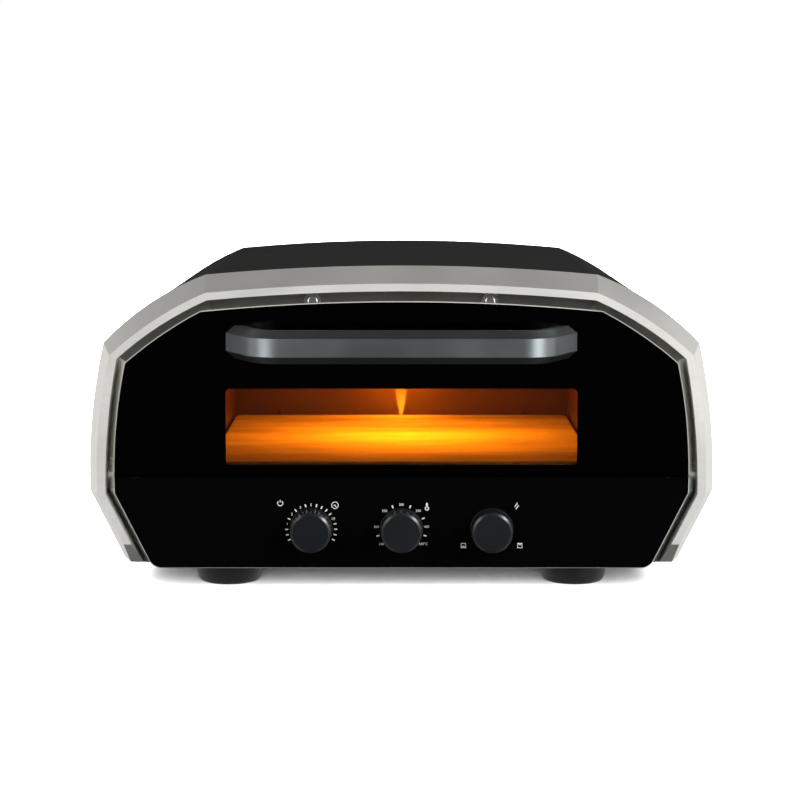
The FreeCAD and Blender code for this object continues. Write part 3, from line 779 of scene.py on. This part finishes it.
def floor():
    """A pale floor, which has its own soft light so that it stays white."""
    mesh = bpy.data.meshes.new("floor")
    signs = ((-1, -1), (1, -1), (1, 1), (-1, 1))
    corners = [(x * FLOOR_REACH, y * FLOOR_REACH, 0) for x, y in signs]
    mesh.from_pydata(corners, [], [(0, 1, 2, 3)])
    plane = bpy.data.objects.new("floor", mesh)
    bpy.context.scene.collection.objects.link(plane)
    made = Shader("pale_floor", Roughness=0.9, Specular_IOR_Level=0.0)
    dust = made.noise(0.4, detail=3.0)
    made.set("Base Color", made.blend(dust, (0.84, 0.84, 0.84), (0.88, 0.88, 0.88)))
    mesh.materials.append(made.material)
    plane.visible_glossy = False
    plane.visible_transmission = False
    plane.visible_diffuse = False
    only = bpy.data.collections.new("floor_only")
    only.objects.link(plane)
    for name, energy, tilt, width in FLOOR_SUNS:
        sky = bpy.data.lights.new("floor_" + name, "SUN")
        sky.energy = energy
        sky.angle = math.radians(width)
        sun = bpy.data.objects.new("floor_" + name, sky)
        sun.rotation_euler = (math.radians(tilt), 0, 0)
        sun.light_linking.receiver_collection = only
        bpy.context.scene.collection.objects.link(sun)


def area_light(name, place, target, size, power, colour=(1, 1, 1)):
    """A flat lamp that faces its target."""
    light = bpy.data.lights.new(name, "AREA")
    light.shape = "RECTANGLE"
    light.size, light.size_y = size
    light.energy = power
    light.color = colour
    made = bpy.data.objects.new(name, light)
    made.location = place
    aim = Vector(target) - Vector(place)
    made.rotation_euler = aim.to_track_quat("-Z", "Y").to_euler()
    bpy.context.scene.collection.objects.link(made)
    return made


def lights():
    """Two tall soft boxes in front, and a smaller one above to the right."""
    turn = math.radians(BOX_AZIMUTH)
    across, along = BOX_REACH * math.sin(turn), BOX_REACH * math.cos(turn)
    for name, side, power in BOX_POWERS:
        place = (side * across, -along, BOX_HEIGHT)
        area_light(name, place, BOX_AIM, BOX_SIZE, power)
    area_light("key_box", KEY_PLACE, KEY_AIM, KEY_SIZE, KEY_POWER)


def inner_lamp(kind, name, place, power, colour, radius):
    """A small lamp inside the oven, kept out of sight."""
    light = bpy.data.lights.new(name, kind)
    light.energy = power
    light.color = colour
    light.shadow_soft_size = radius
    made = bpy.data.objects.new(name, light)
    made.location = place
    bpy.context.scene.collection.objects.link(made)
    hide(made)
    return made


def hide(lamp):
    """Keeps a lamp's own shape out of sight, also through glass."""
    lamp.visible_camera = False
    lamp.visible_transmission = False


def glow():
    """The oven's inner light: from the top element, and up the rear wall."""
    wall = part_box("cavity_rear")[0].y
    low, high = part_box("pizza_stone")
    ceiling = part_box("top_heating_element")[0].z
    middle = (low.y + high.y) / 2
    for name, size, power in CEILING_GLOWS:
        place = (0, middle, ceiling - 0.004)
        lamp = area_light(name, place, (0, middle, 0), size, power, GLOW_COLOUR)
        hide(lamp)
        lamp.visible_glossy = False
    foot = (0, wall - 0.001, high.z - 0.008)
    streak = inner_lamp("SPOT", "streak", foot, STREAK_GLOW, STREAK_COLOUR, 0.0005)
    streak.rotation_euler = (math.pi, 0, 0)
    streak.data.spot_size = math.radians(STREAK_WIDTH)
    streak.data.spot_blend = 1.0
    place = (0, wall - 0.03, high.z + 0.045)
    lamp = inner_lamp("POINT", "wall_glow", place, WALL_GLOW, GLOW_COLOUR, 0.004)
    lamp.visible_glossy = False


def camera():
    """Straight ahead of the oven and a little above it."""
    lens = bpy.data.cameras.new("camera")
    lens.lens = CAMERA_LENS
    lens.sensor_width = 36.0
    made = bpy.data.objects.new("camera", lens)
    made.location = CAMERA_PLACE
    made.rotation_euler = (math.radians(90 - CAMERA_TILT), 0, 0)
    bpy.context.scene.collection.objects.link(made)
    bpy.context.scene.camera = made


def view_settings():
    """Plain colours, with no film look."""
    scene = bpy.context.scene
    scene.view_settings.view_transform = "Standard"
    scene.view_settings.look = "None"


dial_print(dress())
world()
floor()
lights()
glow()
camera()
view_settings()
